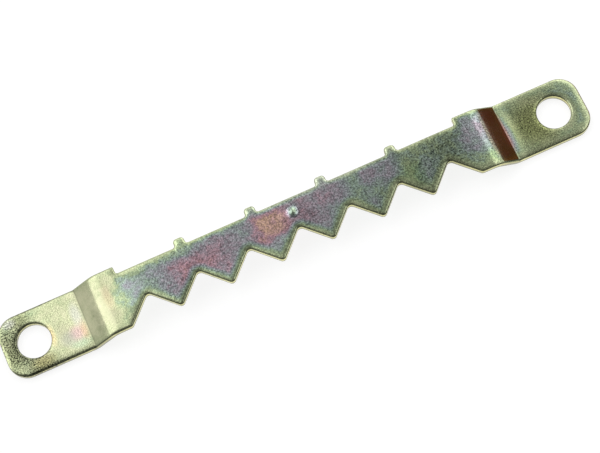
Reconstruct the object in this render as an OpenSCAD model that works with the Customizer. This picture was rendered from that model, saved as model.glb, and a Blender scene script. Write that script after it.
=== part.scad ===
// Sawtooth picture hanger: one strip of sheet steel, blanked and pressed in one go.
// Two flat tabs lie on the back of the picture frame and take a screw each. Between
// them the bar stands off the frame on two offset bends, and its toothed lower edge
// hangs on a nail. X runs along the strip, Y up the wall, with the teeth towards -Y,
// and Z out of the frame. The origin is midway between the screw holes, on the frame.

/* [Strip] */
// Length of the strip, end to end
strip_l = 76.2; // [70:0.1:90]
// Width of the strip, from the tooth tips to the upper edge
strip_w = 7.8; // [7.4:0.1:10]
// Thickness of the sheet
sheet_t = 0.9; // [0.6:0.05:1.2]
// Radius of the four corners at the strip's ends
end_r = 2.4; // [0.5:0.1:3]

/* [Screw tabs] */
// Length of each flat tab, from its end to the start of the bend
tab_l = 10.2; // [9:0.1:11]
// Distance from the strip's end to the middle of the screw hole
hole_inset = 3.9; // [3.4:0.1:4.8]
// Shank diameter of the screw that the tabs take
screw_d = 3.5; // [2.5:0.1:4]
// How much wider than the screw its hole is
screw_clearance = 0.7; // [0.2:0.1:1]

/* [Offset bends] */
// How far the back of the bar stands off the frame
bar_lift = 2.1; // [1.8:0.05:3]
// Steepness of the sloping webs between the tabs and the bar
web_angle = 38; // [32:1:46]
// Inner radius of the bends at the tabs, a tight fold in the face
tab_bend_r = 0.4; // [0.2:0.05:1.2]
// Inner radius of the bends at the bar, which leave its face softly rounded
bar_bend_r = 1.4; // [0.5:0.1:1.6]

/* [Teeth] */
// Number of notches along the lower edge
notch_count = 7; // [1:2:7]
// Distance from one notch to the next
notch_pitch = 6.55; // [5.5:0.05:6.7]
// Angle that a notch opens to
notch_angle = 90; // [84:1:110]
// Radius at the tip of each tooth
tip_r = 0.5; // [0.2:0.05:0.8]
// Radius in the root of each notch
root_r = 0.55; // [0.2:0.05:0.9]
// Radius where the end notches meet the straight lower edge
shoulder_r = 0.5; // [0.2:0.05:0.8]

/* [Upper edge] */
// Length of the lowered stretch of the upper edge
relief_l = 44.4; // [40:0.1:46]
// How far that stretch is lowered, and so the height of its nubs
relief_h = 1; // [0.8:0.05:1.3]
// Number of nubs left standing on it
nub_count = 4; // [0:1:4]
// Distance from one nub to the next
nub_pitch = 9.2; // [6:0.1:11]
// Width of a nub
nub_w = 1.4; // [1:0.1:2]
// Radius of a nub's upper corners
nub_r = 0.35; // [0.1:0.05:0.4]
// Radius in the inner corners beside the nubs and at the ends of the stretch
fillet_r = 0.35; // [0.1:0.05:0.4]
// Radius of the outer corners at the ends of the stretch
step_r = 0.2; // [0.1:0.05:0.35]

/* [Centre dimple] */
// Diameter of the raised dimple that marks the middle notch
dimple_d = 1.4; // [1:0.1:1.8]
// Height of the dimple
dimple_h = 0.3; // [0.1:0.05:0.5]
// Distance from the bar's upper edge down to the middle of the dimple
dimple_drop = 1.85; // [1.2:0.05:2.4]
// Diameter of the pit that the punch leaves behind the dimple
pit_d = 1.1; // [0.6:0.1:1.4]
// Depth of that pit
pit_depth = 0.35; // [0.1:0.05:0.4]

/* [Hidden] */
// Facets in a full circle
$fn = 96;
// How far a cutting shape runs past what it cuts
overrun = 1;
// How far a round's shape reaches back past its corner, so that it cuts or joins cleanly
bite = 0.25;
// The turn at a square corner
square_corner = 90;
// Directions in a drawing, as turns from the one that points right
up_right = 45;
upward = 90;
up_left = 135;
down_left = 225;
downward = 270;
down_right = 315;

end_x = strip_l / 2;
edge_y = strip_w / 2;
hole_d = screw_d + screw_clearance;
hole_x = end_x - hole_inset;

// Side view: where the bends start, and the flat length of the web between them
bends_r = tab_bend_r + sheet_t + bar_bend_r;
web_l = (bar_lift - bends_r * (1 - cos(web_angle))) / sin(web_angle);
tab_bend_x = end_x - tab_l;
bar_bend_x = tab_bend_x - bends_r * sin(web_angle) - web_l * cos(web_angle);
tab_bend_centre = [tab_bend_x, sheet_t + tab_bend_r];
bar_bend_centre = [bar_bend_x, bar_lift - bar_bend_r];

// Plan: the notches' flanks meet at sharp tips below the edge, and at sharp roots
tip_overshoot = tip_r / sin(notch_angle / 2) - tip_r;
sharp_tip_y = -edge_y - tip_overshoot;
sharp_root_y = sharp_tip_y + notch_pitch / 2 / tan(notch_angle / 2);
shoulder_reach = (sharp_root_y + edge_y) * tan(notch_angle / 2);
shoulder_corner = square_corner + notch_angle / 2;
root_xs = [for (i = [0 : notch_count - 1]) (i - (notch_count - 1) / 2) * notch_pitch];
tip_xs = [for (i = [1 : 1 : notch_count - 1]) (i - notch_count / 2) * notch_pitch];
shoulder_x = root_xs[notch_count - 1] + shoulder_reach;

step_x = relief_l / 2;
bar_edge_y = edge_y - relief_h;
nub_xs = [for (i = [0 : 1 : nub_count - 1]) (i - (nub_count - 1) / 2) * nub_pitch];

bar_front_z = bar_lift + sheet_t;
dimple_y = bar_edge_y - dimple_drop;
mid_sheet_z = bar_lift + sheet_t / 2;

// Radius of the ball whose cap has this diameter and height
function cap_r(d, h) = (d * d / 4 + h * h) / (2 * h);

// What a round of radius r takes off a sharp corner, or fills into one. The corner
// is at the point given, it opens by `corner`, and its middle line runs towards `aim`.
// The shape starts a bite behind the corner, in the open beside it or in the metal.
module round_at(point, aim, corner, r) {
    reach = r / tan(corner / 2);
    centre_x = r / sin(corner / 2);
    touch_x = reach * cos(corner / 2);
    touch_y = reach * sin(corner / 2);
    translate(point)
        rotate(aim)
            difference() {
                polygon([[-bite, 0], [touch_x, -touch_y], [centre_x, 0], [touch_x, touch_y]]);
                translate([centre_x, 0])
                    circle(r);
            }
}

// The same shape on both halves of the strip
module both_sides() {
    children();
    mirror([1, 0])
        children();
}

// One half of the side view, with a straight chord across each bend. It runs past the
// strip's end.
module half_section() {
    across_web = [sin(web_angle), cos(web_angle)];
    polygon([
        [0, bar_lift],
        [bar_bend_x, bar_lift],
        bar_bend_centre + bar_bend_r * across_web,
        tab_bend_centre - (tab_bend_r + sheet_t) * across_web,
        [tab_bend_x, 0],
        [end_x + overrun, 0],
        [end_x + overrun, sheet_t],
        [tab_bend_x, sheet_t],
        tab_bend_centre - tab_bend_r * across_web,
        bar_bend_centre + (bar_bend_r + sheet_t) * across_web,
        [bar_bend_x, bar_front_z],
        [0, bar_front_z]
    ]);
}

// The slice of a bend's disc of radius r that ends at its arc. The slice's tip is on
// the bend's middle line, `tip_r` from the centre, and its sides pass through the
// arc's ends.
module bend_slice(r, tip_r, aim) {
    past_arc = 3;
    side_x = past_arc * (r * cos(web_angle / 2) - tip_r);
    side_y = past_arc * r * sin(web_angle / 2);
    intersection() {
        circle(r);
        rotate(aim)
            polygon([[tip_r, 0], [tip_r + side_x, -side_y], [tip_r + side_x, side_y]]);
    }
}

// Side view of the strip: flat tabs, two offset bends, raised bar. Each bend is
// bulged out on its outer side, from the middle of the sheet, and hollowed inside.
module section() {
    bar_aim = upward - web_angle / 2;
    tab_aim = downward - web_angle / 2;
    difference() {
        both_sides() {
            half_section();
            translate(bar_bend_centre)
                bend_slice(bar_bend_r + sheet_t, bar_bend_r + sheet_t / 2, bar_aim);
            translate(tab_bend_centre)
                bend_slice(tab_bend_r + sheet_t, tab_bend_r + sheet_t / 2, tab_aim);
        }
        both_sides() {
            translate(bar_bend_centre)
                bend_slice(bar_bend_r, 0, bar_aim);
            translate(tab_bend_centre)
                bend_slice(tab_bend_r, 0, tab_aim);
        }
    }
}

// Plan of the strip with sharp corners: the upper edge from right to left, then the
// lower edge from left to right, down into each notch and out again
module sharp_blank() {
    polygon([
        [end_x, edge_y],
        [step_x, edge_y],
        [step_x, bar_edge_y],
        for (i = [nub_count - 1 : -1 : 0])
            each [
                [nub_xs[i] + nub_w / 2, bar_edge_y],
                [nub_xs[i] + nub_w / 2, edge_y],
                [nub_xs[i] - nub_w / 2, edge_y],
                [nub_xs[i] - nub_w / 2, bar_edge_y]
            ],
        [-step_x, bar_edge_y],
        [-step_x, edge_y],
        [-end_x, edge_y],
        [-end_x, -edge_y],
        [-shoulder_x, -edge_y],
        for (i = [0 : notch_count - 1])
            each [
                [root_xs[i], sharp_root_y],
                i < notch_count - 1 ? [tip_xs[i], sharp_tip_y] : [shoulder_x, -edge_y]
            ],
        [end_x, -edge_y]
    ]);
}

// The corners that stick out, each rounded off
module outer_rounds() {
    both_sides() {
        round_at([end_x, edge_y], down_left, square_corner, end_r);
        round_at([end_x, -edge_y], up_left, square_corner, end_r);
        round_at([step_x, edge_y], down_right, square_corner, step_r);
        round_at([shoulder_x, -edge_y], shoulder_corner / 2, shoulder_corner, shoulder_r);
    }
    for (x = tip_xs)
        round_at([x, sharp_tip_y], upward, notch_angle, tip_r);
    for (x = nub_xs)
        translate([x, 0])
            both_sides()
                round_at([nub_w / 2, edge_y], down_left, square_corner, nub_r);
}

// The corners that go in, each filled to a round
module inner_rounds() {
    both_sides()
        round_at([step_x, bar_edge_y], up_left, square_corner, fillet_r);
    for (x = root_xs)
        round_at([x, sharp_root_y], downward, notch_angle, root_r);
    for (x = nub_xs)
        translate([x, 0])
            both_sides()
                round_at([nub_w / 2, bar_edge_y], up_right, square_corner, fillet_r);
}

// Plan of the strip as the die cuts it, with its screw holes
module blank() {
    difference() {
        sharp_blank();
        outer_rounds();
        both_sides()
            translate([hole_x, 0])
                circle(d = hole_d);
    }
    inner_rounds();
}

// The bar's dimple, a cap of a ball that stands on the face
module dimple() {
    ball_r = cap_r(dimple_d, dimple_h);
    translate([0, dimple_y, 0])
        intersection() {
            translate([0, 0, bar_front_z + dimple_h - ball_r])
                sphere(ball_r);
            translate([0, 0, mid_sheet_z])
                cylinder(r = ball_r + overrun, h = ball_r);
        }
}

// The pit that the punch leaves in the back of the bar
module dimple_pit() {
    ball_r = cap_r(pit_d, pit_depth);
    translate([0, dimple_y, bar_lift + pit_depth - ball_r])
        sphere(ball_r);
}

// The whole hanger: the side view and the plan each cut the other to shape
module hanger_strip() {
    color("#a9ad86")
        difference() {
            union() {
                intersection() {
                    translate([0, edge_y + overrun, 0])
                        rotate([90, 0, 0])
                            linear_extrude(strip_w + tip_overshoot + 2 * overrun)
                                section();
                    translate([0, 0, -overrun])
                        linear_extrude(bar_front_z + 2 * overrun)
                            blank();
                }
                dimple();
            }
            dimple_pit();
        }
}

hanger_strip();
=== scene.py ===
# %% [markdown]
# # A sawtooth picture hanger
# The real hanger is one strip of sheet steel. A press cuts its outline, teeth and
# holes in one stroke, folds it twice at each end and pushes up a small dimple. It is
# then plated with zinc and dipped in a yellow chromate, whose thin film shimmers from
# pale yellow through green and blue to pink. This lesson takes the same steps: a flat
# outline, rounded corners, holes, a rolled edge, the folds, and then the finish.
# Sizes are in millimetres until the strip is handed over, and in metres from there,
# apart from the spots and marks of the finish, which stay in millimetres.

# %% Load the measured frame
import math
import bpy
import bmesh
from mathutils import Matrix, Vector
from mathutils.bvhtree import BVHTree


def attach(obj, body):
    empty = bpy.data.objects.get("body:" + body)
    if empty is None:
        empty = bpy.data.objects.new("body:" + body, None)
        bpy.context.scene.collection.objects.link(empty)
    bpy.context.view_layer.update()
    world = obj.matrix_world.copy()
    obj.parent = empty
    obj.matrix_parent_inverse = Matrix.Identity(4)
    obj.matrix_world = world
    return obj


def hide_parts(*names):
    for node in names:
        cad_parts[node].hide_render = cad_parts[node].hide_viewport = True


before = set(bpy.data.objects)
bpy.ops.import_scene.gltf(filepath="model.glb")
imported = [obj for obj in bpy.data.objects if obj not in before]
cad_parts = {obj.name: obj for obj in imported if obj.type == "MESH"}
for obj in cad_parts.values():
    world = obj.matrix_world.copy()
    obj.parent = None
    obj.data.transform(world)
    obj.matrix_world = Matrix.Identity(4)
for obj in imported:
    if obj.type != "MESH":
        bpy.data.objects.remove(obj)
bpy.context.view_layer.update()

# %% [markdown]
# ## The blank
# The press cuts the whole outline at once, so here it starts as one flat face with
# sharp corners, drawn in millimetres. It could be joined from a plate, triangles and
# small blocks, but their seams would have to be cleaned away again. One outline has
# none, and each kind of corner can then be rounded with its own radius. The flanks of
# the teeth stand at 45 degrees, so a notch is half as deep as it is wide. The sharp
# tips start a little below the lower edge, and come up to it when they are rounded.

# %% Sizes of the blank, in millimetres
strip_length, strip_width, thickness = 76.2, 7.8, 0.9
notch_count, notch_pitch = 7, 6.55
relief_length, relief_depth = 44.4, 1.0
nub_count, nub_pitch, nub_width = 4, 9.2, 1.4
end_radius, shoulder_radius, tip_radius, root_radius = 2.4, 0.5, 0.5, 0.55
nub_radius, fillet_radius, step_radius = 0.46, 0.35, 0.2

end_x, edge_y = strip_length / 2, strip_width / 2
step_x, bar_edge_y = relief_length / 2, edge_y - relief_depth
tip_y = -edge_y - tip_radius * (math.sqrt(2) - 1)
root_y = tip_y + notch_pitch / 2
root_xs = [(i - (notch_count - 1) / 2) * notch_pitch for i in range(notch_count)]
tip_xs = [(i + 1 - notch_count / 2) * notch_pitch for i in range(notch_count - 1)]
shoulder_x = root_xs[-1] + root_y + edge_y
nub_xs = [(i - (nub_count - 1) / 2) * nub_pitch for i in range(nub_count)]
print("notch roots at", [round(x, 2) for x in root_xs], "shoulder at", round(shoulder_x, 2))

# %% The outline with sharp corners
nub_sides = [x + side * nub_width / 2 for x in nub_xs for side in (-1, 1)]
corners = {
    "end": [(x, y) for x in (-end_x, end_x) for y in (-edge_y, edge_y)],
    "step": [(-step_x, edge_y), (step_x, edge_y)],
    "step foot": [(-step_x, bar_edge_y), (step_x, bar_edge_y)],
    "nub": [(x, edge_y) for x in nub_sides],
    "nub foot": [(x, bar_edge_y) for x in nub_sides],
    "shoulder": [(-shoulder_x, -edge_y), (shoulder_x, -edge_y)],
    "tip": [(x, tip_y) for x in tip_xs],
    "root": [(x, root_y) for x in root_xs],
}
lower = sorted(corners["shoulder"] + corners["tip"] + corners["root"])
upper = [(-end_x, edge_y), (-step_x, edge_y), (-step_x, bar_edge_y)]
for left, right in zip(nub_sides[::2], nub_sides[1::2]):
    upper += [(left, bar_edge_y), (left, edge_y), (right, edge_y), (right, bar_edge_y)]
upper += [(step_x, bar_edge_y), (step_x, edge_y), (end_x, edge_y)]
loop = [(-end_x, -edge_y)] + lower + [(end_x, -edge_y)] + upper[::-1]

strip = bmesh.new()
blank = strip.faces.new([strip.verts.new((x, y, thickness)) for x, y in loop])
print("sharp outline:", len(blank.verts), "corners")

# %% [markdown]
# A vertex bevel turns each corner into an arc. Its offset is how far the arc's ends
# lie from the corner, which is the radius divided by the tangent of half the corner's
# angle. The die that cuts the real strip has these radii too, because a sharp corner
# in hardened steel would crack.

# %% Round every corner
def round_corners(kind, radius, angle=90, segments=8):
    spots = {(round(x, 4), round(y, 4)) for x, y in corners[kind]}
    verts = [vert for vert in strip.verts if (round(vert.co.x, 4), round(vert.co.y, 4)) in spots]
    arc_reach = radius / math.tan(math.radians(angle / 2))
    bmesh.ops.bevel(strip, geom=verts, offset=arc_reach, offset_type="OFFSET", segments=segments,
                    profile=0.5, affect="VERTICES", material=-1, clamp_overlap=False)
    print("rounded", len(verts), kind, "corners to", radius, "mm")


round_corners("end", end_radius, segments=20)
round_corners("step", step_radius)
round_corners("step foot", fillet_radius)
round_corners("nub", nub_radius)
round_corners("nub foot", fillet_radius)
round_corners("shoulder", shoulder_radius, angle=135)
round_corners("tip", tip_radius, segments=12)
round_corners("root", root_radius, segments=12)

# %% [markdown]
# ## The screw holes
# Two round holes go through the tabs. A boolean could punch them, but it is simpler
# to lay two circles inside the outline and let a triangle fill close the space in
# between: a loop inside another one is left open.

# %% Circles for the holes, and the filled face
hole_x, hole_radius, hole_sides = 34.2, 2.1, 72
bmesh.ops.delete(strip, geom=strip.faces[:], context="FACES_ONLY")
for side in (-1, 1):
    bmesh.ops.create_circle(strip, cap_ends=False, segments=hole_sides, radius=hole_radius,
                            matrix=Matrix.Translation((side * hole_x, 0, thickness)))
bmesh.ops.triangle_fill(strip, use_beauty=True, edges=strip.edges[:], normal=(0, 0, 1))
blank_area = sum(face.calc_area() for face in strip.faces)
print("filled blank:", len(strip.faces), "triangles,", round(blank_area, 1), "square mm")

# %% [markdown]
# ## Rings for the rolled edge
# When the punch enters the sheet, it drags the surface down with it, and the upper
# edge comes out softly rolled. A plain bevel would give every edge the same quarter
# round. Narrow rings that follow the outline can be lowered one by one instead, so
# the roll can have its true shape, steep outside and fading inwards.

# %% Insets that follow the outline
ring_distances = [0.008, 0.03, 0.065, 0.11, 0.175]
inner = strip.faces[:]
before = 0.0
for distance in ring_distances:
    bmesh.ops.inset_region(strip, faces=inner, thickness=distance - before, depth=0,
                           use_boundary=True, use_even_offset=True)
    before = distance
print("rings at", ring_distances, "mm from the edge:", len(strip.faces), "faces")

# %% [markdown]
# ## Cuts for the folds
# A face can only bend where it has edges. Subdividing would split every face alike,
# but straight cuts across the strip can lie close together in the folds and wide
# apart elsewhere. Cuts along the strip give the surface enough points to know how far
# each spot lies from the edge, which the finish needs. The cuts are made from left to
# right, and then from the lower edge up, and each one only goes through what lies
# beyond the one before.

# %% The strip's side view, and where it bends
bar_lift, web_angle = 2.1, math.radians(38)
tab_bend_radius, bar_bend_radius, tab_length = 0.4, 1.4, 10.2
both_bends = tab_bend_radius + thickness + bar_bend_radius
web_length = (bar_lift - both_bends * (1 - math.cos(web_angle))) / math.sin(web_angle)
tab_bend_x = end_x - tab_length
bar_bend_x = tab_bend_x - both_bends * math.sin(web_angle) - web_length * math.cos(web_angle)
print("bends from", round(bar_bend_x, 2), "to", round(tab_bend_x, 2), "mm")
print("straight slope of", round(web_length, 2), "mm between the bends")

# %% Straight cuts across a region
same_place, rounding_error = 1e-4, 1e-6


def steps(start, stop, size):
    count = max(1, math.ceil((stop - start) / size - rounding_error))
    return [start + (stop - start) * i / count for i in range(count + 1)]


def cut(axis, places, region=None):
    normal = Vector((0, 0, 0))
    normal[axis] = 1
    faces = strip.faces[:]
    if region:
        (x_low, x_high), (y_low, y_high) = region
        faces = [face for face in faces if x_low < face.calc_center_median().x < x_high
                 and y_low < face.calc_center_median().y < y_high]
    for place in places:
        # a dict keeps each edge and corner once and in order, so that each run cuts alike
        edges = dict.fromkeys(edge for face in faces for edge in face.edges)
        verts = dict.fromkeys(vert for face in faces for vert in face.verts)
        done = bmesh.ops.bisect_plane(strip, geom=faces + list(edges) + list(verts), dist=same_place,
                                      plane_co=normal * place, plane_no=normal)
        faces = [item for item in done["geom"] if isinstance(item, bmesh.types.BMFace)
                 and item.calc_center_median()[axis] > place]


print("a millimetre in steps of at most 0.3 mm:", steps(0, 1, 0.3))

# %% Cuts over the whole strip, closest in the tight bend at the tab
flat_grid, bend_grid, web_grid, foot_grid, tight_grid = 0.3, 0.12, 0.25, 0.11, 0.045
web_x = bar_bend_x + (bar_bend_radius + thickness) * math.sin(web_angle)
foot_x, tight_x = 27.0, tab_bend_x - tab_bend_radius * math.sin(web_angle)
right_cuts = sorted(set(
    steps(0, bar_bend_x, flat_grid) + steps(bar_bend_x, web_x, bend_grid)
    + steps(web_x, foot_x, web_grid) + steps(foot_x, tight_x, foot_grid)
    + steps(tight_x, tab_bend_x, tight_grid) + steps(tab_bend_x, end_x, flat_grid)[:-1]))
cut(0, [-x for x in right_cuts[:0:-1]] + right_cuts)
cut(1, steps(-edge_y, edge_y, flat_grid)[1:-1])
print("after", 2 * len(right_cuts) - 1, "cuts across:", len(strip.faces), "faces")

# %% Finer cuts round the nubs and the dimple
nub_beside, nub_below, nub_grid = nub_width / 2 + 0.5, 0.3, 0.11
dimple_y, dimple_zone, dimple_grid = bar_edge_y - 1.85, 1.1, 0.07
fine_spots = [((x - nub_beside, x + nub_beside), (bar_edge_y - nub_below, edge_y), nub_grid)
              for x in nub_xs]
fine_spots.append(((-dimple_zone, dimple_zone), (dimple_y - dimple_zone, dimple_y + dimple_zone),
                   dimple_grid))
for x_span, y_span, grid in fine_spots:
    cut(0, steps(*x_span, grid), (x_span, y_span))
    cut(1, steps(*y_span, grid), (x_span, y_span))
print("with the fine cuts:", len(strip.faces), "faces")

# %% [markdown]
# ## Thickness
# The flat face is pulled down by the thickness of the sheet. The extrusion brings the
# back and all walls along, round the outline and through the holes. A Solidify
# modifier would make the same plate, but the next steps need the back and the walls
# in the mesh already.

# %% Pull the sheet to its thickness
pulled = bmesh.ops.extrude_face_region(strip, geom=strip.faces[:])
back = [item for item in pulled["geom"] if isinstance(item, bmesh.types.BMVert)]
bmesh.ops.translate(strip, verts=back, vec=(0, 0, -thickness))
bmesh.ops.recalc_face_normals(strip, faces=strip.faces[:])
open_edges = sum(edge.is_boundary for edge in strip.edges)
print("volume", round(strip.calc_volume(), 1), "cubic mm, open edges", open_edges)

# %% [markdown]
# ## Marks for the finish
# The chromate film is different near an edge, and the press rolls the edge over. Both
# follow one number, the distance to the nearest wall. It could be painted on by hand,
# but measured it is right at every tooth and hole. It is kept on the mesh, so that
# the material can read it. Three more numbers go with it: how deep in the sheet a
# point lies, for the cut walls, how close it is to the inside of a fold, for the
# painted shade in the crease, and how hard the tool rubbed it, for the slopes' smooth
# skin and their painted shade. The rubbing grows over a millimetre below the bar and
# stops short at the slope's foot.

# %% Measure the distance to the walls
walls = strip.copy()
walls.normal_update()
face_up_or_down = [face for face in walls.faces if abs(face.normal.z) > 0.5]
bmesh.ops.delete(walls, geom=face_up_or_down, context="FACES")
wall_tree = BVHTree.FromBMesh(walls)
print("walls of", len(walls.faces), "faces")
walls.free()

# %% Keep the four marks on the mesh
from_edge, depth, crease, rubbed = [strip.verts.layers.float.new(mark)
                                    for mark in ("from_edge", "depth", "crease", "rubbed")]
crease_width, front_crease_x, back_crease_x = 0.3, tab_bend_x - 0.12, bar_bend_x + 0.43
rub_from, rub_to, rub_stop = bar_bend_x + 1.0, tab_bend_x - 0.1, 0.12
for vert in strip.verts:
    out_x = abs(vert.co.x)
    # find_nearest gives the place, direction, face and distance of the nearest wall
    vert[from_edge] = wall_tree.find_nearest(vert.co)[3]
    vert[depth] = 1 - vert.co.z / thickness
    crease_x = front_crease_x if vert[depth] < 0.5 else back_crease_x
    vert[crease] = max(0.0, 1 - abs(out_x - crease_x) / crease_width)
    vert[rubbed] = max(0.0, min(1.0, out_x - rub_from, (rub_to - out_x) / rub_stop))
print("furthest point from an edge:", round(max(vert[from_edge] for vert in strip.verts), 2), "mm")

# %% [markdown]
# ## The rolled edge, the nubs and the dimple
# Each point near an edge is lowered along a quarter of an ellipse, and further in the
# surface still sags a little, because the punch pulls on it before it cuts. The nubs
# are small and stand free, so they roll over further. The back keeps a crisp edge
# with hardly any round. The dimple is a low cap that runs out softly, and the pin that
# pushed it up has left a round pit in the back. Sculpting would do for one dimple,
# but a height worked out from a distance treats every tooth and nub alike.

# %% How far each point goes down or up
roll_width, roll_height = 0.25, 0.16
nub_roll_width, nub_roll_height = 0.45, 0.1
sag_width, sag_height = 0.8, 0.045
back_round = 0.04
dimple_radius, dimple_height, pit_radius, pit_height = 0.875, 0.2, 0.55, 0.35


def quarter(distance, width):
    inside = max(0.0, 1 - distance / width)
    return 1 - math.sqrt(1 - inside * inside)


def nub_share(x, y):
    if abs(x) > nub_xs[-1] + nub_width:
        return 0.0
    return min(1.0, max(0.0, (y - bar_edge_y) / (relief_depth / 2)))


drops = {}
for vert in strip.verts:
    gap = vert[from_edge]
    from_dimple = math.hypot(vert.co.x, vert.co.y - dimple_y)
    if vert[depth] < 0.5:
        edge_roll = roll_height * quarter(gap, roll_width)
        sag = sag_height * max(0.0, 1 - gap / sag_width) ** 2
        nub_roll = nub_share(vert.co.x, vert.co.y) * nub_roll_height * quarter(gap, nub_roll_width)
        cap = dimple_height * (math.cos(min(1.0, from_dimple / dimple_radius) * math.pi) + 1) / 2
        drops[vert] = cap - edge_roll - sag - nub_roll
    else:
        pit = pit_height * math.sqrt(max(0.0, 1 - (from_dimple / pit_radius) ** 2))
        drops[vert] = pit + back_round * quarter(gap, back_round)
print("deepest roll", round(min(drops.values()), 3), "mm")

# %% [markdown]
# ## The folds
# The press folds the strip twice at each end, so that the bar stands off the wall and
# leaves room for a nail's head. The side view is flat, arc, slope, arc, flat, on the
# front and on the back. Each point keeps its place along the strip and is lifted to
# the height between these two lines. A bend modifier would roll the whole strip up
# and shorten it.

# %% The front and back line of the side view
# radius of the bend at the bar, radius of the bend at the tab, height of the bar
front_line = (bar_bend_radius + thickness, tab_bend_radius, bar_lift + thickness)
back_line = (bar_bend_radius, tab_bend_radius + thickness, bar_lift)


def side_view(x, at_bar, at_tab, bar_z):
    x = abs(x)
    top, foot = bar_z - at_bar, bar_z - bar_lift + at_tab
    if x <= bar_bend_x:
        return bar_z
    if x <= bar_bend_x + at_bar * math.sin(web_angle):
        return top + math.sqrt(at_bar * at_bar - (x - bar_bend_x) ** 2)
    if x >= tab_bend_x:
        return bar_z - bar_lift
    if x >= tab_bend_x - at_tab * math.sin(web_angle):
        return foot - math.sqrt(at_tab * at_tab - (tab_bend_x - x) ** 2)
    start = bar_bend_x + at_bar * math.sin(web_angle)
    return top + at_bar * math.cos(web_angle) - (x - start) * math.tan(web_angle)


front_heights = [round(side_view(x, *front_line), 2) for x in (0, web_x, end_x)]
print("front of the bar, the slope's top and the tab lie at", front_heights, "mm")

# %% [markdown]
# The folds pull on the bar, so its ends bend back a little. It is only a tenth of a
# millimetre, but the metal is bright, and a tilt of one degree already changes what
# it mirrors. Without this the light ends of the bar would be as dark as its middle.
# From the fold to the tab the bow runs out along a smooth curve that ends level.

# %% Bow the bar and lift every point
bow_from, bow_height = 17.0, 0.12


def bow(x):
    x = abs(x)
    if x <= bow_from or x >= tab_bend_x:
        return 0.0
    if x <= bar_bend_x:
        return bow_height * ((x - bow_from) / (bar_bend_x - bow_from)) ** 2
    span = tab_bend_x - bar_bend_x
    along = (x - bar_bend_x) / span
    slope = 2 * bow_height / (bar_bend_x - bow_from) * span
    return (bow_height * (2 * along ** 3 - 3 * along ** 2 + 1)
            + slope * (along ** 3 - 2 * along ** 2 + along))


for vert in strip.verts:
    front_z, back_z = side_view(vert.co.x, *front_line), side_view(vert.co.x, *back_line)
    vert.co.z = front_z + (back_z - front_z) * vert[depth] + drops[vert] - bow(vert.co.x)
print("height", round(max(vert.co.z for vert in strip.verts), 3), "mm")

# %% [markdown]
# ## The finished strip
# The mesh is shaded smooth, apart from edges that turn by more than 40 degrees, such
# as the back's rim, and scaled from millimetres to metres.

# %% Hand the finished strip over to the frame
sharp_from = math.radians(40)


def finish_piece(name, shape):
    shape.normal_update()
    for face in shape.faces:
        face.smooth = True
    for edge in shape.edges:
        edge.smooth = edge.calc_face_angle(0.0) < sharp_from
    bmesh.ops.triangulate(shape, faces=shape.faces[:])
    bmesh.ops.scale(shape, verts=shape.verts[:], vec=(0.001, 0.001, 0.001))
    mesh = bpy.data.meshes.new(name)
    shape.to_mesh(mesh)
    shape.free()
    piece = bpy.data.objects.new(name, mesh)
    bpy.context.scene.collection.objects.link(piece)
    size_mm = [round(side * 1000, 2) for side in piece.dimensions]
    print(name, len(mesh.polygons), "triangles, size in mm", size_mm)
    return piece


hanger = finish_piece("pressed_strip", strip)
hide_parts("hanger_strip")
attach(hanger, "root")

# %% [markdown]
# ## Helpers for the finish
# Colours are written as the eye sees them on a screen, and one function turns them
# into the linear values that the renderer counts in. One small function adds a node,
# with its settings and links, so that a long recipe stays easy to read. The sockets
# of some nodes share one name. There a number picks the socket: the setting 7 goes to
# socket 7, and the link i0 goes to socket 0. Patterns are sized by a length on the
# real strip, and a noise has one wave in 1 / scale metres.

# %% Colours and nodes
def hex_colour(code):
    parts = [int(code[i:i + 2], 16) / 255 for i in (0, 2, 4)]
    linear = [part / 12.92 if part <= 0.04045 else ((part + 0.055) / 1.055) ** 2.4 for part in parts]
    return linear + [1.0]


def add_node(tree, kind, settings=None, **links):
    node = tree.nodes.new(kind)
    for key, value in (settings or {}).items():
        if isinstance(key, int) or key in node.inputs:
            node.inputs[key].default_value = value
        else:
            setattr(node, key, value)
    for key, source in links.items():
        tree.links.new(source, node.inputs[int(key[1:]) if key[1:].isdigit() else key.replace("_", " ")])
    return node


def fill_ramp(node, stops):
    ramp = node.color_ramp
    while len(ramp.elements) < len(stops):
        ramp.elements.new(1.0)
    for element, (position, code) in zip(ramp.elements, stops):
        element.position = position
        element.color = hex_colour(code)


def scale_for(size_mm):
    return 1000 / size_mm


print("mid grey 808080 is", round(hex_colour("808080")[0], 3), "in linear light")

# %% [markdown]
# ## Zinc plate with an iridescent yellow chromate
# Zinc from a plating bath is a bright, slightly grainy metal, so the shader is all
# metal with a satin roughness, and what the eye gets is a soft mirror. The chromate
# is a clear film on it, thinner than a wavelength of light, and its colour follows its
# thickness: pale yellow, green, blue grey, lilac, pink, gold. It could be drawn with a
# thin film setting, but then the colour would hang on a thickness in nanometres that
# nobody can see. Here one number stands for the film's thickness, and a ramp turns it
# into a colour.

# %% What the material reads from the mesh
steel = bpy.data.materials.new("zinc_plate_yellow_chromate")
steel.use_nodes = True
tree = steel.node_tree
tree.nodes.clear()
place = add_node(tree, "ShaderNodeTexCoord").outputs["Object"]
to_edge, deep, fold, rub = [add_node(tree, "ShaderNodeAttribute", {"attribute_name": mark}).outputs["Fac"]
                            for mark in ("from_edge", "depth", "crease", "rubbed")]
print(steel.name, "reads four marks from a mesh of", len(hanger.data.vertices), "points")
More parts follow.
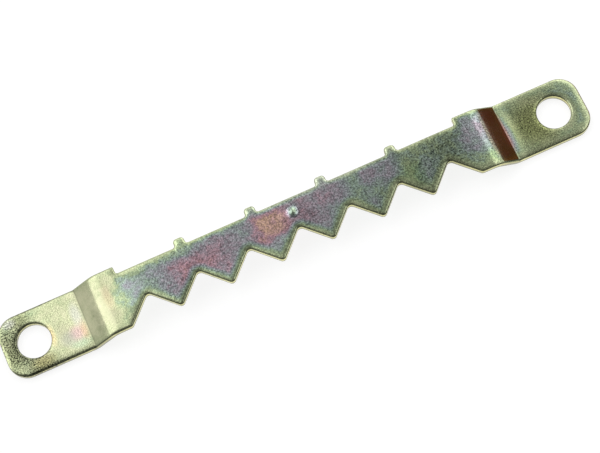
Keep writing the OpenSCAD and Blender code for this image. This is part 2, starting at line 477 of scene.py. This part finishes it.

# %% [markdown]
# ## Soft spots
# The bath ran off the strip slowly and dried in patches. A plain noise would put them
# anywhere, so each one is a soft round spot with its own place, size and strength. A
# drifting noise pushes the spots' borders about by a millimetre or so, as a liquid's
# border is never a circle. Spots that belong to a feature, such as the dimple, a nub
# or a fold, use the place as it is, or they would slide off it.
# Further down, the same spots also lay painted light and shade on the colour.

# %% A place that drifts, and a place that keeps still
drift_mm, push = 2.0, 0.003
drift = add_node(tree, "ShaderNodeTexNoise", {
    "Scale": scale_for(drift_mm), "Detail": 4.0, "Roughness": 0.6}, Vector=place)
either_way = add_node(tree, "ShaderNodeVectorMath", {"operation": "SUBTRACT", 1: (0.5, 0.5, 0.5)},
                      i0=drift.outputs["Color"])
pushed = add_node(tree, "ShaderNodeVectorMath", {"operation": "MULTIPLY_ADD", 1: (push, push, 0.0)},
                  i0=either_way.outputs[0], i2=place)
in_mm = {"operation": "MULTIPLY", 1: (1000.0, 1000.0, 0.0)}
drifting, still = [add_node(tree, "ShaderNodeVectorMath", in_mm, i0=source).outputs[0]
                   for source in (pushed.outputs[0], place)]
print("drift of", drift_mm, "mm pushes a spot by up to", push / 2 * 1000, "mm")

# %% One soft spot, and many
full_until, gone_from = 0.25, 1.3


def soft_spot(x, y, radius, amount, tall=1.0, where=None):
    shifted = add_node(tree, "ShaderNodeVectorMath", {
        "operation": "MULTIPLY_ADD", 1: (1.0, 1 / tall, 0.0), 2: (-x, -y / tall, 0.0)},
        i0=where or drifting)
    away = add_node(tree, "ShaderNodeVectorMath", {"operation": "LENGTH"}, i0=shifted.outputs[0])
    fading = add_node(tree, "ShaderNodeMapRange", {
        "interpolation_type": "SMOOTHSTEP", "From Min": radius * gone_from,
        "From Max": radius * full_until, "To Max": amount}, Value=away.outputs["Value"])
    return fading.outputs["Result"]


def add_spots(total, spots, where=None):
    for spot in spots:
        one_more = soft_spot(*spot, where=where)
        total = add_node(tree, "ShaderNodeMath", {"operation": "ADD"}, i0=total, i1=one_more).outputs[0]
    return total


print("a spot is full up to", full_until, "of its radius and gone at", gone_from)

# %% [markdown]
# ## How thick the film is
# A spot with an amount above zero thickens the film and moves its colour on towards
# pink and gold, and one below zero takes it back towards pale yellow. The left end
# has a thin, pale film. The left half of the bar runs to pink and lilac, with an amber
# place beside the dimple. The right half is green with some lilac, and the right end
# is pale again. Each spot is a row of numbers, so it can be moved or weakened alone.

# %% Spots of film: x and y in mm, radius, amount, and height against width
thin, drift_share = 0.04, 0.5
left_end_film = [(-28.0, 0.0, 7.0, -0.26), (-36.5, 0.0, 3.6, -0.22), (-21.8, 0.3, 2.1, 0.2)]
pink_half_film = [
    (-9.0, 0.0, 10.5, 0.26), (-15.1, -1.4, 2.8, 0.2), (-21.0, -2.4, 1.7, 0.12), (-13.0, 0.0, 2.2, 0.04),
    (-10.0, 0.4, 3.6, 0.07), (-6.0, 1.4, 1.6, -0.08), (-19.2, 0.0, 2.2, 0.1), (-12.9, 0.4, 1.3, 0.08),
    (-10.0, -2.6, 3.0, 0.07, 0.5), (-14.0, 2.7, 9.0, -0.14, 0.12)]
amber_film = [
    (-3.3, 0.4, 3.2, 0.22), (-3.4, 0.4, 1.7, 0.12), (-1.7, 1.5, 1.2, 0.1), (-3.6, -2.7, 2.2, -0.15)]
green_half_film = [
    (3.0, 0.6, 5.5, 0.2), (1.2, 0.0, 3.2, 0.12), (5.2, 1.7, 2.6, 0.14), (11.6, 1.8, 3.0, 0.24),
    (14.5, -0.3, 2.2, -0.07), (9.6, -2.6, 2.4, 0.14), (16.6, -2.2, 2.6, 0.05), (13.0, 0.2, 1.6, 0.08)]
right_end_film = [(18.5, 0.0, 3.4, 0.06), (23.7, 0.7, 2.2, 0.2, 1.5), (32.0, 0.0, 4.0, -0.2)]
fold_film = [(26.3, 0.3, 1.5, 0.16, 5.0), (27.9, -0.4, 0.8, 0.3, 3.0), (24.7, 1.6, 0.7, 0.14, 2.0)]
dimple_film = [(0.0, dimple_y, 0.8, -0.3)]
nub_film = [(x, 3.5, 0.7, -0.12) for x in nub_xs]
drifting_film = left_end_film + pink_half_film + amber_film + green_half_film + right_end_film
feature_film = fold_film + dimple_film + nub_film
film = add_node(tree, "ShaderNodeMath", {"operation": "MULTIPLY_ADD", 1: drift_share, 2: thin},
                i0=drift.outputs["Fac"]).outputs[0]
film = add_spots(film, drifting_film)
film = add_spots(film, feature_film, still)
print("film:", len(drifting_film), "drifting spots,", len(feature_film), "on features")

# %% [markdown]
# ## The fringe at the edges
# Along every edge the liquid thinned out, and the colours run through the whole order
# within a millimetre, from pale yellow outside to the patch's own colour inside. The
# upper edge hung uppermost in the bath, so its fringe is narrower. Painting such
# bands by hand would take long, but the distance to the edge gives them at once: the
# film is thin where the distance is small, and grows to its full number further in.

# %% Thin the film towards the edges, faster at the upper edge
edge_film, fringe_from, fringe_to = 0.12, 0.05, 1.1
upper_speed, upper_y = 1.7, 0.0025
part_of = add_node(tree, "ShaderNodeSeparateXYZ", Vector=place)
faster = add_node(tree, "ShaderNodeMapRange", {"From Max": upper_y, "To Min": 1.0, "To Max": upper_speed},
                  Value=part_of.outputs["Y"])
inwards = add_node(tree, "ShaderNodeMath", {"operation": "MULTIPLY"}, i0=to_edge,
                   i1=faster.outputs["Result"])
fringe = add_node(tree, "ShaderNodeMapRange", {"From Min": fringe_from, "From Max": fringe_to},
                  Value=inwards.outputs[0])
extra = add_node(tree, "ShaderNodeMath", {"operation": "SUBTRACT", 1: edge_film}, i0=film)
grown = add_node(tree, "ShaderNodeMath", {"operation": "MULTIPLY_ADD", 2: edge_film}, i0=extra.outputs[0],
                 i1=fringe.outputs["Result"])
print("fringe up to", fringe_to, "mm, and", round(fringe_to / upper_speed, 2), "mm at the upper edge")

# %% [markdown]
# ## Speckle, and the film's colours
# The film is never even, so a speckle of about four tenths of a millimetre is added
# last. The ramp then turns the number into a colour. Its stops lie in the order in
# which such a film changes as it grows.

# %% Speckle, and the ramp of colours
speck_mm, speck = 0.385, 0.24
specks = add_node(tree, "ShaderNodeTexNoise", {
    "Scale": scale_for(speck_mm), "Detail": 4.0, "Roughness": 0.75}, Vector=place)
uneven = add_node(tree, "ShaderNodeMath", {"operation": "MULTIPLY_ADD", 1: speck},
                  i0=specks.outputs["Fac"], i2=grown.outputs[0])
film = add_node(tree, "ShaderNodeMath", {"operation": "SUBTRACT", 1: speck / 2, "use_clamp": True},
                i0=uneven.outputs[0]).outputs[0]
colour = add_node(tree, "ShaderNodeValToRGB", Fac=film)
fill_ramp(colour, [(0.0, "d9dab4"), (0.12, "c2c9a0"), (0.26, "a0b08b"), (0.38, "93a597"), (0.5, "9ba0a3"),
                   (0.6, "a397a0"), (0.73, "b48f98"), (0.88, "c8a692"), (1.0, "b58f60")])
print("film colours:", len(colour.color_ramp.elements))

# %% [markdown]
# ## Grain
# Rolled sheet has a fine grain, and the plating follows it. On the real strip it is a
# few hundredths of a millimetre across. That is less than a dot of the picture, so it
# is drawn coarser here, at 0.18 mm. It shows more where the film is thick, and on the
# tabs most round the screw holes. It is calmer at the bar's left end, and the tool
# that folded the slopes has rubbed most of it away there.

# %% How strongly the grain shows
grain_mm, thick_film, faint_grain, strong_grain, grain_left = 0.18, 0.35, 0.7, 3.2, 0.3
grain_spots = [(-36.8, -0.2, 3.4, 1.4), (-35.2, 3.0, 1.8, 1.2), (-34.5, -3.2, 2.4, 1.0),
               (-22.5, 0.0, 5.0, -0.9), (32.0, 0.0, 3.6, 0.7)]
grain = add_node(tree, "ShaderNodeTexNoise", {
    "Scale": scale_for(grain_mm), "Detail": 1.5, "Roughness": 0.6}, Vector=place)
showing = add_node(tree, "ShaderNodeMapRange", {
    "From Max": thick_film, "To Min": faint_grain, "To Max": strong_grain}, Value=film)
coarse = add_spots(showing.outputs["Result"], grain_spots)
smoother = add_node(tree, "ShaderNodeMapRange", {"To Min": 1.0, "To Max": grain_left}, Value=rub)
strength = add_node(tree, "ShaderNodeMath", {"operation": "MULTIPLY"}, i0=coarse,
                    i1=smoother.outputs["Result"])
up_and_down = add_node(tree, "ShaderNodeMath", {"operation": "SUBTRACT", 1: 0.5}, i0=grain.outputs["Fac"])
tone_and_painted_light = add_node(tree, "ShaderNodeMath", {"operation": "MULTIPLY_ADD", 2: 1.0}, i0=up_and_down.outputs[0],
                i1=strength.outputs[0]).outputs[0]
print("grain of", grain_mm, "mm, with", len(grain_spots), "places where it is stronger or calmer")

# %% [markdown]
# ## Light and dark places
# A number near 1 multiplies the colour. It could be a second noise, but most of these
# spots are painted light and shade, laid on the colour where the real strip caught more
# or less light. The number falls round the screw holes, where the film is olive and
# painted shade darkens it further, along the left tab's long edges with painted shade,
# on the left slope with painted shade, and towards the bar's right end, partly with
# painted shade. It rises with painted highlights beside the folds and at the strip's
# left end, on the nubs, and beside the dimple, which has a painted highlight on its left
# and painted shade on its right. Some spots along the bar are the film's own lighter
# and darker patches.

# %% Spots of tone and painted light, in the same order of numbers as the film's
# The left end: painted shade left of the hole, along the lower edge, on the tab and on the slope; painted
# highlights beside the fold and at the bar's left end
left_painted_light = [
    (-36.8, 0.2, 3.6, -0.6), (-34.5, -3.2, 2.6, -0.3), (-30.6, -0.5, 1.7, -0.17), (-28.4, 0.6, 2.6, 0.1),
    (-28.7, -1.1, 2.4, 0.06), (-25.0, 0.0, 1.5, -0.26, 4.0), (-23.8, -0.2, 1.1, 0.14),
    (-22.6, -0.3, 1.7, 0.16), (-21.2, -0.2, 2.2, 0.2)]
# Along the bar: partly the film's own lighter and darker patches, partly painted light and shade, darker
# towards the right end
bar_tone_and_painted_light = [
    (-14.0, 2.8, 9.0, 0.18, 0.1), (-3.0, 0.6, 3.0, 0.12), (-6.0, -2.9, 8.0, 0.2, 0.25),
    (1.3, -0.1, 1.3, -0.16), (3.4, 1.4, 1.5, 0.08), (15.4, -1.0, 2.2, -0.08), (9.8, -2.6, 2.6, -0.08),
    (16.5, 0.0, 7.0, -0.12), (15.0, -2.8, 6.0, -0.12, 0.3), (19.8, 0.3, 3.0, -0.28)]
# Round the right hole: olive film, darkened further with painted shade
right_olive_and_painted_shade = [(30.0, 1.5, 1.1, -0.12), (32.2, 0.0, 3.8, -0.56)]
# Painted shade along both long edges of the left tab, and a painted highlight on its left end
edge_painted_light = [
    (-32.8, 3.95, 5.5, -0.6, 0.06), (-33.0, -3.75, 5.5, -0.3, 0.1), (-37.95, -0.5, 0.3, 0.6, 8.0)]
# Painted highlights beside the folds, painted shade in the bar's bend and in the tight fold at the right
# tab
fold_painted_light = [
    (24.0, 0.0, 0.8, 0.16, 5.0), (28.3, 0.0, 0.95, 0.72, 5.0), (25.35, 0.0, 0.42, -0.3, 10.0),
    (27.72, 0.0, 0.25, -0.12, 12.0), (24.1, 2.0, 0.9, 0.16)]
# Painted highlight on the dimple's left and lower side, painted shade on its right
dimple_painted_light = [
    (-1.2, dimple_y + 0.2, 0.7, 0.3), (0.0, dimple_y - 0.4, 0.5, 0.4), (0.75, dimple_y, 0.4, -0.3)]
nub_tones = [(x, 3.5, 0.7, 0.25) for x in nub_xs]
drifting_tones_and_painted_light = left_painted_light + bar_tone_and_painted_light + right_olive_and_painted_shade
feature_tones_and_painted_light = edge_painted_light + fold_painted_light + dimple_painted_light + nub_tones
tone_and_painted_light = add_spots(tone_and_painted_light, drifting_tones_and_painted_light)
tone_and_painted_light = add_spots(tone_and_painted_light, feature_tones_and_painted_light, still)
print("tone:", len(drifting_tones_and_painted_light), "drifting spots,", len(feature_tones_and_painted_light), "on features")

# %% [markdown]
# ## Rims, cut walls, creases and slopes
# A thin dark line of painted shade runs along every edge, on the rolled rim, and the
# face stays a little darker for up to half a millimetre further in. The cut wall below
# is in two bands: bright where the punch sheared it smooth, dull where the last half of
# the sheet tore, and the dull band also carries painted shade near the wall's foot. The
# inside of each fold is darkened with painted shade, and the slopes, rubbed smooth by
# the tool, are darkened with painted shade too. Each of these could be a material of
# its own, but then their borders would be hard. So each mark multiplies the tone instead.

# %% Multiply the tone by each mark
rim_from, rim_to, rim_painted_shade, wall_until = 0.02, 0.08, 0.45, 0.004
torn_from, torn_to, torn_and_shade_dark = 0.35, 0.6, 0.4
near_edge_from, near_edge_to, near_edge_dark = 0.05, 0.5, 0.8
crease_painted_shade, slope_painted_shade = 0.55, 0.66
# A thin dark line of painted shade along every rim
painted_rim_line = add_node(tree, "ShaderNodeMapRange", {
    "interpolation_type": "SMOOTHSTEP", "From Min": rim_from, "From Max": rim_to,
    "To Min": rim_painted_shade}, Value=to_edge)
wall = add_node(tree, "ShaderNodeMath", {"operation": "LESS_THAN", 1: wall_until}, i0=to_edge)
# The dull torn band of the cut wall, darker towards the back, also carries painted shade near the wall's
# foot
torn = add_node(tree, "ShaderNodeMapRange", {
    "From Min": torn_from, "From Max": torn_to, "To Min": 1.0, "To Max": torn_and_shade_dark}, Value=deep)
rim = add_node(tree, "ShaderNodeMix", {"data_type": "FLOAT"}, Factor=wall.outputs[0],
               A=painted_rim_line.outputs["Result"], B=torn.outputs["Result"])
# The face is a little darker for up to half a millimetre in from each edge
near_edge_darkening = add_node(tree, "ShaderNodeMapRange", {
    "interpolation_type": "SMOOTHSTEP", "From Min": near_edge_from, "From Max": near_edge_to,
    "To Min": near_edge_dark}, Value=inwards.outputs[0])
near_edge_on_face = add_node(tree, "ShaderNodeMix", {"data_type": "FLOAT", 3: 1.0}, Factor=wall.outputs[0],
                      A=near_edge_darkening.outputs["Result"])
# Painted shade in the inside of each fold
painted_crease_shade = add_node(tree, "ShaderNodeMapRange", {
    "interpolation_type": "SMOOTHSTEP", "To Min": 1.0, "To Max": crease_painted_shade}, Value=fold)
# Painted shade on both slopes, growing with the rubbing
painted_slope_shade = add_node(tree, "ShaderNodeMapRange", {"To Min": 1.0, "To Max": slope_painted_shade}, Value=rub)
for factor in (rim, painted_crease_shade, painted_slope_shade, near_edge_on_face):
    tone_and_painted_light = add_node(tree, "ShaderNodeMath", {"operation": "MULTIPLY"}, i0=tone_and_painted_light,
                    i1=factor.outputs[0]).outputs[0]
print("tone falls to", rim_painted_shade, "on the rim,", torn_and_shade_dark, "where torn,", crease_painted_shade, "in the creases")

# %% [markdown]
# ## Stains, and painted reflection on the right slope
# Some places have a colour that the order of the film doesn't give, such as the pink
# and mint flush beside the left fold, or the yellow green round the right hole, where
# the dye of the bath stayed. On the right slope and its bends, four of these spots are
# painted reflection instead: brownish, redder at the top and greener at the bottom,
# like the brown that the cards further down put in the slope's mirror. More stops in
# the ramp would bring these colours everywhere, so each is mixed over the film's colour
# as one soft spot.

# %% Stains and painted reflection: colour, x and y in mm, radius, amount, and height against width
left_stains = [
    ("8c9068", -35.0, 3.1, 1.5, 0.6, 0.6), ("d2d2ca", -36.3, 3.1, 0.9, 0.6, 0.7),
    ("98a070", -37.2, -0.6, 1.2, 0.4, 2.2), ("b8dabc", -29.1, -2.6, 1.4, 0.4, 0.5),
    ("a89858", -34.0, -2.9, 1.8, 0.5, 0.6), ("dcbc88", -32.1, -0.3, 0.6, 0.5, 2.6),
    ("e4bac0", -29.1, -1.3, 1.1, 0.65), ("e2bc98", -28.2, -1.2, 0.55, 0.5, 2.5),
    ("b8bcb8", -30.3, -1.6, 1.1, 0.4), ("d6d6d2", -28.5, 0.9, 0.75, 0.5, 2.2),
    ("e2c8a6", -24.1, 0.6, 0.7, 0.4, 2.6)]
bar_stains = [("c4c8be", 4.0, 3.3, 12.0, 0.5, 0.09), ("84a870", 15.2, -0.8, 1.8, 0.35)]
# The spots at 25.45, 26.6, 26.8 and 27.74 mm are painted reflection on the right slope and its bends
right_stains_and_slope_reflection = [
    ("a8c480", 25.0, -2.4, 1.0, 0.3), ("a89a80", 25.45, 0.0, 0.35, 0.7, 10.0),
    ("b07a64", 27.74, 0.0, 0.26, 0.6, 12.0), ("8a5a4a", 26.6, 2.4, 1.2, 0.3),
    ("7a8050", 26.8, -2.6, 1.2, 0.3), ("bdc873", 31.6, -0.2, 3.2, 0.6)]
stains_and_slope_reflection = left_stains + bar_stains + right_stains_and_slope_reflection
spotted_colour = colour.outputs["Color"]
for code, *spot in stains_and_slope_reflection:
    spotted_colour = add_node(tree, "ShaderNodeMix", {"data_type": "RGBA", 7: hex_colour(code)},
                       Factor=soft_spot(*spot, where=still), i6=spotted_colour).outputs[2]
print(len(stains_and_slope_reflection), "stains_and_slope_reflection")

# %% [markdown]
# ## Yellow in the cut walls
# The cut walls show little of the shimmer, only a plain warm yellow. It is the same
# all round, so it needs no spots: the number that tells the wall from the face also
# mixes the yellow in.

# %% A yellower film on the cut walls
wall_yellow = 0.4
share = add_node(tree, "ShaderNodeMath", {"operation": "MULTIPLY", 1: wall_yellow}, i0=wall.outputs[0])
spotted_colour = add_node(tree, "ShaderNodeMix", {"data_type": "RGBA", 7: hex_colour("ead86e")},
                   Factor=share.outputs[0], i6=spotted_colour).outputs[2]
print("cut walls take", wall_yellow, "of a yellower film")

# %% [markdown]
# ## The metal's skin
# The toned colour, with its painted light and shade, goes to the shader as the colour
# of the metal. The grain stands a hundredth of a millimetre high, which is too little
# to build in the mesh, so a bump tilts the light instead. The plated face is satin, with
# a roughness of 0.22, and the slopes are nearly twice as smooth where the folding tool
# has rubbed them.

# %% Roughness, bump and the shader
satin, rubbed_smooth, grain_height = 0.22, 0.12, 0.00001
toned_with_painted_light = add_node(tree, "ShaderNodeVectorMath", {"operation": "SCALE"}, i0=spotted_colour, Scale=tone_and_painted_light)
bump = add_node(tree, "ShaderNodeBump", {"Distance": grain_height}, Height=grain.outputs["Fac"],
                Strength=smoother.outputs["Result"])
polish = add_node(tree, "ShaderNodeMapRange", {"To Min": satin, "To Max": rubbed_smooth}, Value=rub)
skin = add_node(tree, "ShaderNodeBsdfPrincipled", {"Metallic": 1.0}, Base_Color=toned_with_painted_light.outputs[0],
                Roughness=polish.outputs["Result"], Normal=bump.outputs["Normal"])
add_node(tree, "ShaderNodeOutputMaterial", Surface=skin.outputs["BSDF"])
hanger.data.materials.append(steel)
print("finish", steel.name, len(tree.nodes), "nodes")

# %% [markdown]
# ## The floor
# The strip lies on white paper. Bright metal shows what surrounds it, so the paper is
# a plain pale surface that also glows in what the camera sees and in what the metal
# mirrors. More lamps would whiten it too, but they would bleach the strip as well.
# The strip's own shadow still falls on it. It lies a twentieth of a millimetre below
# the tabs, because two surfaces in one plane would flicker.

# %% White paper under the strip
def stage_sheet(name, half_size, at, turn=(0, 0, 0)):
    shape = bmesh.new()
    bmesh.ops.create_grid(shape, x_segments=1, y_segments=1, size=half_size)
    mesh = bpy.data.meshes.new(name)
    shape.to_mesh(mesh)
    shape.free()
    sheet = bpy.data.objects.new(name, mesh)
    sheet.location = at
    sheet.rotation_euler = turn
    bpy.context.scene.collection.objects.link(sheet)
    return sheet


seen_glow, mirrored_glow = 0.84, 0.95
floor_half_size, floor_gap = 3.0, 0.00005
paper = bpy.data.materials.new("white_paper_sweep")
paper.use_nodes = True
paper_tree = paper.node_tree
paper_tree.nodes.clear()
matt = add_node(paper_tree, "ShaderNodeBsdfDiffuse", {"Color": hex_colour("8c8c8c")})
ray = add_node(paper_tree, "ShaderNodeLightPath")
seen = add_node(paper_tree, "ShaderNodeMath", {"operation": "MULTIPLY", 1: seen_glow},
                i0=ray.outputs["Is Camera Ray"])
either = add_node(paper_tree, "ShaderNodeMath", {"operation": "MULTIPLY_ADD", 1: mirrored_glow},
                  i0=ray.outputs["Is Glossy Ray"], i2=seen.outputs[0])
glow = add_node(paper_tree, "ShaderNodeEmission", {"Color": hex_colour("ffffff")},
                Strength=either.outputs[0])
both = add_node(paper_tree, "ShaderNodeAddShader", i0=matt.outputs[0], i1=glow.outputs[0])
add_node(paper_tree, "ShaderNodeOutputMaterial", Surface=both.outputs[0])
floor = stage_sheet("floor", floor_half_size, (0, 0, -floor_gap))
floor.data.materials.append(paper)
print("floor", paper.name, "at", round(floor.location.z * 1000, 2), "mm")

# %% [markdown]
# ## The lamps and the world
# Two wide soft boxes hang level, half a metre up, with a gap between them. The flat
# bar is a soft mirror of what is above: its left end shows the left box, and its
# middle and right part the dimmer gap, so it darkens to the right. One big lamp would
# make it evenly bright. The world is soft grey, brighter towards the top left. It
# fills in the walls of the teeth.

# %% Two soft boxes: spans in x and y in metres, and how bright their face is
lamp_height = 0.5


def soft_box(name, x_span, y_span, brightness):
    width, length = x_span[1] - x_span[0], y_span[1] - y_span[0]
    lamp = bpy.data.lights.new(name, "AREA")
    lamp.shape, lamp.size, lamp.size_y = "RECTANGLE", width, length
    lamp.energy = brightness * math.pi * width * length
    holder = bpy.data.objects.new(name, lamp)
    holder.location = (sum(x_span) / 2, sum(y_span) / 2, lamp_height)
    bpy.context.scene.collection.objects.link(holder)
    print(name, "at", [round(c, 3) for c in holder.location], "power", round(lamp.energy, 2), "W")


soft_box("soft_box_left", (-1.3, -0.067), (0.05, 0.6), 1.05)
soft_box("soft_box_right", (0.215, 2.4), (-0.2, 1.3), 1.25)

# %% A soft sky
sky_dim, sky_bright, dim_until, bright_from = 0.14, 0.93, -0.15, 0.7
towards_light = (-0.5, 1.0, 0.0)
world = bpy.data.worlds.new("studio")
bpy.context.scene.world = world
world.use_nodes = True
world_tree = world.node_tree
sky = add_node(world_tree, "ShaderNodeTexCoord")
rise = add_node(world_tree, "ShaderNodeVectorMath", {"operation": "DOT_PRODUCT", 1: towards_light},
                i0=sky.outputs["Generated"])
sky_level = add_node(world_tree, "ShaderNodeMapRange", {
    "interpolation_type": "SMOOTHSTEP", "From Min": dim_until, "From Max": bright_from,
    "To Min": sky_dim, "To Max": sky_bright}, Value=rise.outputs["Value"])
background = world_tree.nodes["Background"]
background.inputs["Color"].default_value = hex_colour("ffffff")
world_tree.links.new(sky_level.outputs["Result"], background.inputs["Strength"])
print("sky from", sky_dim, "to", sky_bright)

# %% [markdown]
# ## Brown cards for the right slope
# The right slope is the smoothest place and looks level to the right, so it mirrors
# whatever stands beside the strip. Small cards do this work in a photo studio. Two
# plain brown ones, one upright and one lying, give the slope its deep brown. They are
# seen in mirrors only, cast no shadow and are no part of the hanger. Painting the
# slope brown would look the same from here, but wrong from every other side.
# A little brown, red and green is still mixed into the slope's colour as painted reflection, and both
# slopes carry painted shade.

# %% Two plain brown cards
upright_half_size, upright_at = 0.02, (0.09, 0.021, -0.002)
lying_half_size, lying_at = 0.026, (0.0648, 0.018, 0.00005)
card_finish = bpy.data.materials.new("brown_card")
card_finish.use_nodes = True
card_tree = card_finish.node_tree
card_tree.nodes.clear()
brown = add_node(card_tree, "ShaderNodeEmission", {"Color": hex_colour("905532")})
add_node(card_tree, "ShaderNodeOutputMaterial", Surface=brown.outputs[0])
upright_card = stage_sheet("upright_card", upright_half_size, upright_at, (0, math.radians(-90), 0))
lying_card = stage_sheet("lying_card", lying_half_size, lying_at)
for card in (upright_card, lying_card):
    card.data.materials.append(card_finish)
    card.visible_camera = card.visible_diffuse = card.visible_shadow = False
print("cards at", [[round(c, 3) for c in card.location] for card in (upright_card, lying_card)])

# %% [markdown]
# ## The camera
# The camera looks down on the strip from 20 cm, a little from the left and from below,
# and is rolled so that the strip rises to the right. Its focal length in picture dots
# and its place come from a fit to the edges and holes of the real strip. It could be
# aimed with a Track To constraint, but a matrix of its three directions takes the roll
# along as well.

# %% Place the camera
focal_dots, image_width = 1685.14, 600
eye = Vector((-14.3926, -62.4335, 192.9432)) / 1000
aim = Vector((0.3056, -0.0528, 0.0)) / 1000
roll = math.radians(25.0923)
forward = (aim - eye).normalized()
level = forward.cross(Vector((0, 1, 0))).normalized()
up = level.cross(forward)
across = level * math.cos(roll) - up * math.sin(roll)
upright = level * math.sin(roll) + up * math.cos(roll)
lens = bpy.data.cameras.new("camera")
lens.sensor_width = 36.0
lens.lens = focal_dots * lens.sensor_width / image_width
lens.clip_start = 0.01
camera = bpy.data.objects.new("camera", lens)
camera.matrix_world = Matrix.Translation(eye) @ Matrix((across, upright, -forward)).transposed().to_4x4()
bpy.context.scene.collection.objects.link(camera)
bpy.context.scene.camera = camera
bpy.context.scene.view_settings.view_transform = "Standard"
print("camera", round(lens.lens, 1), "mm lens,", round(eye.length * 1000), "mm away")
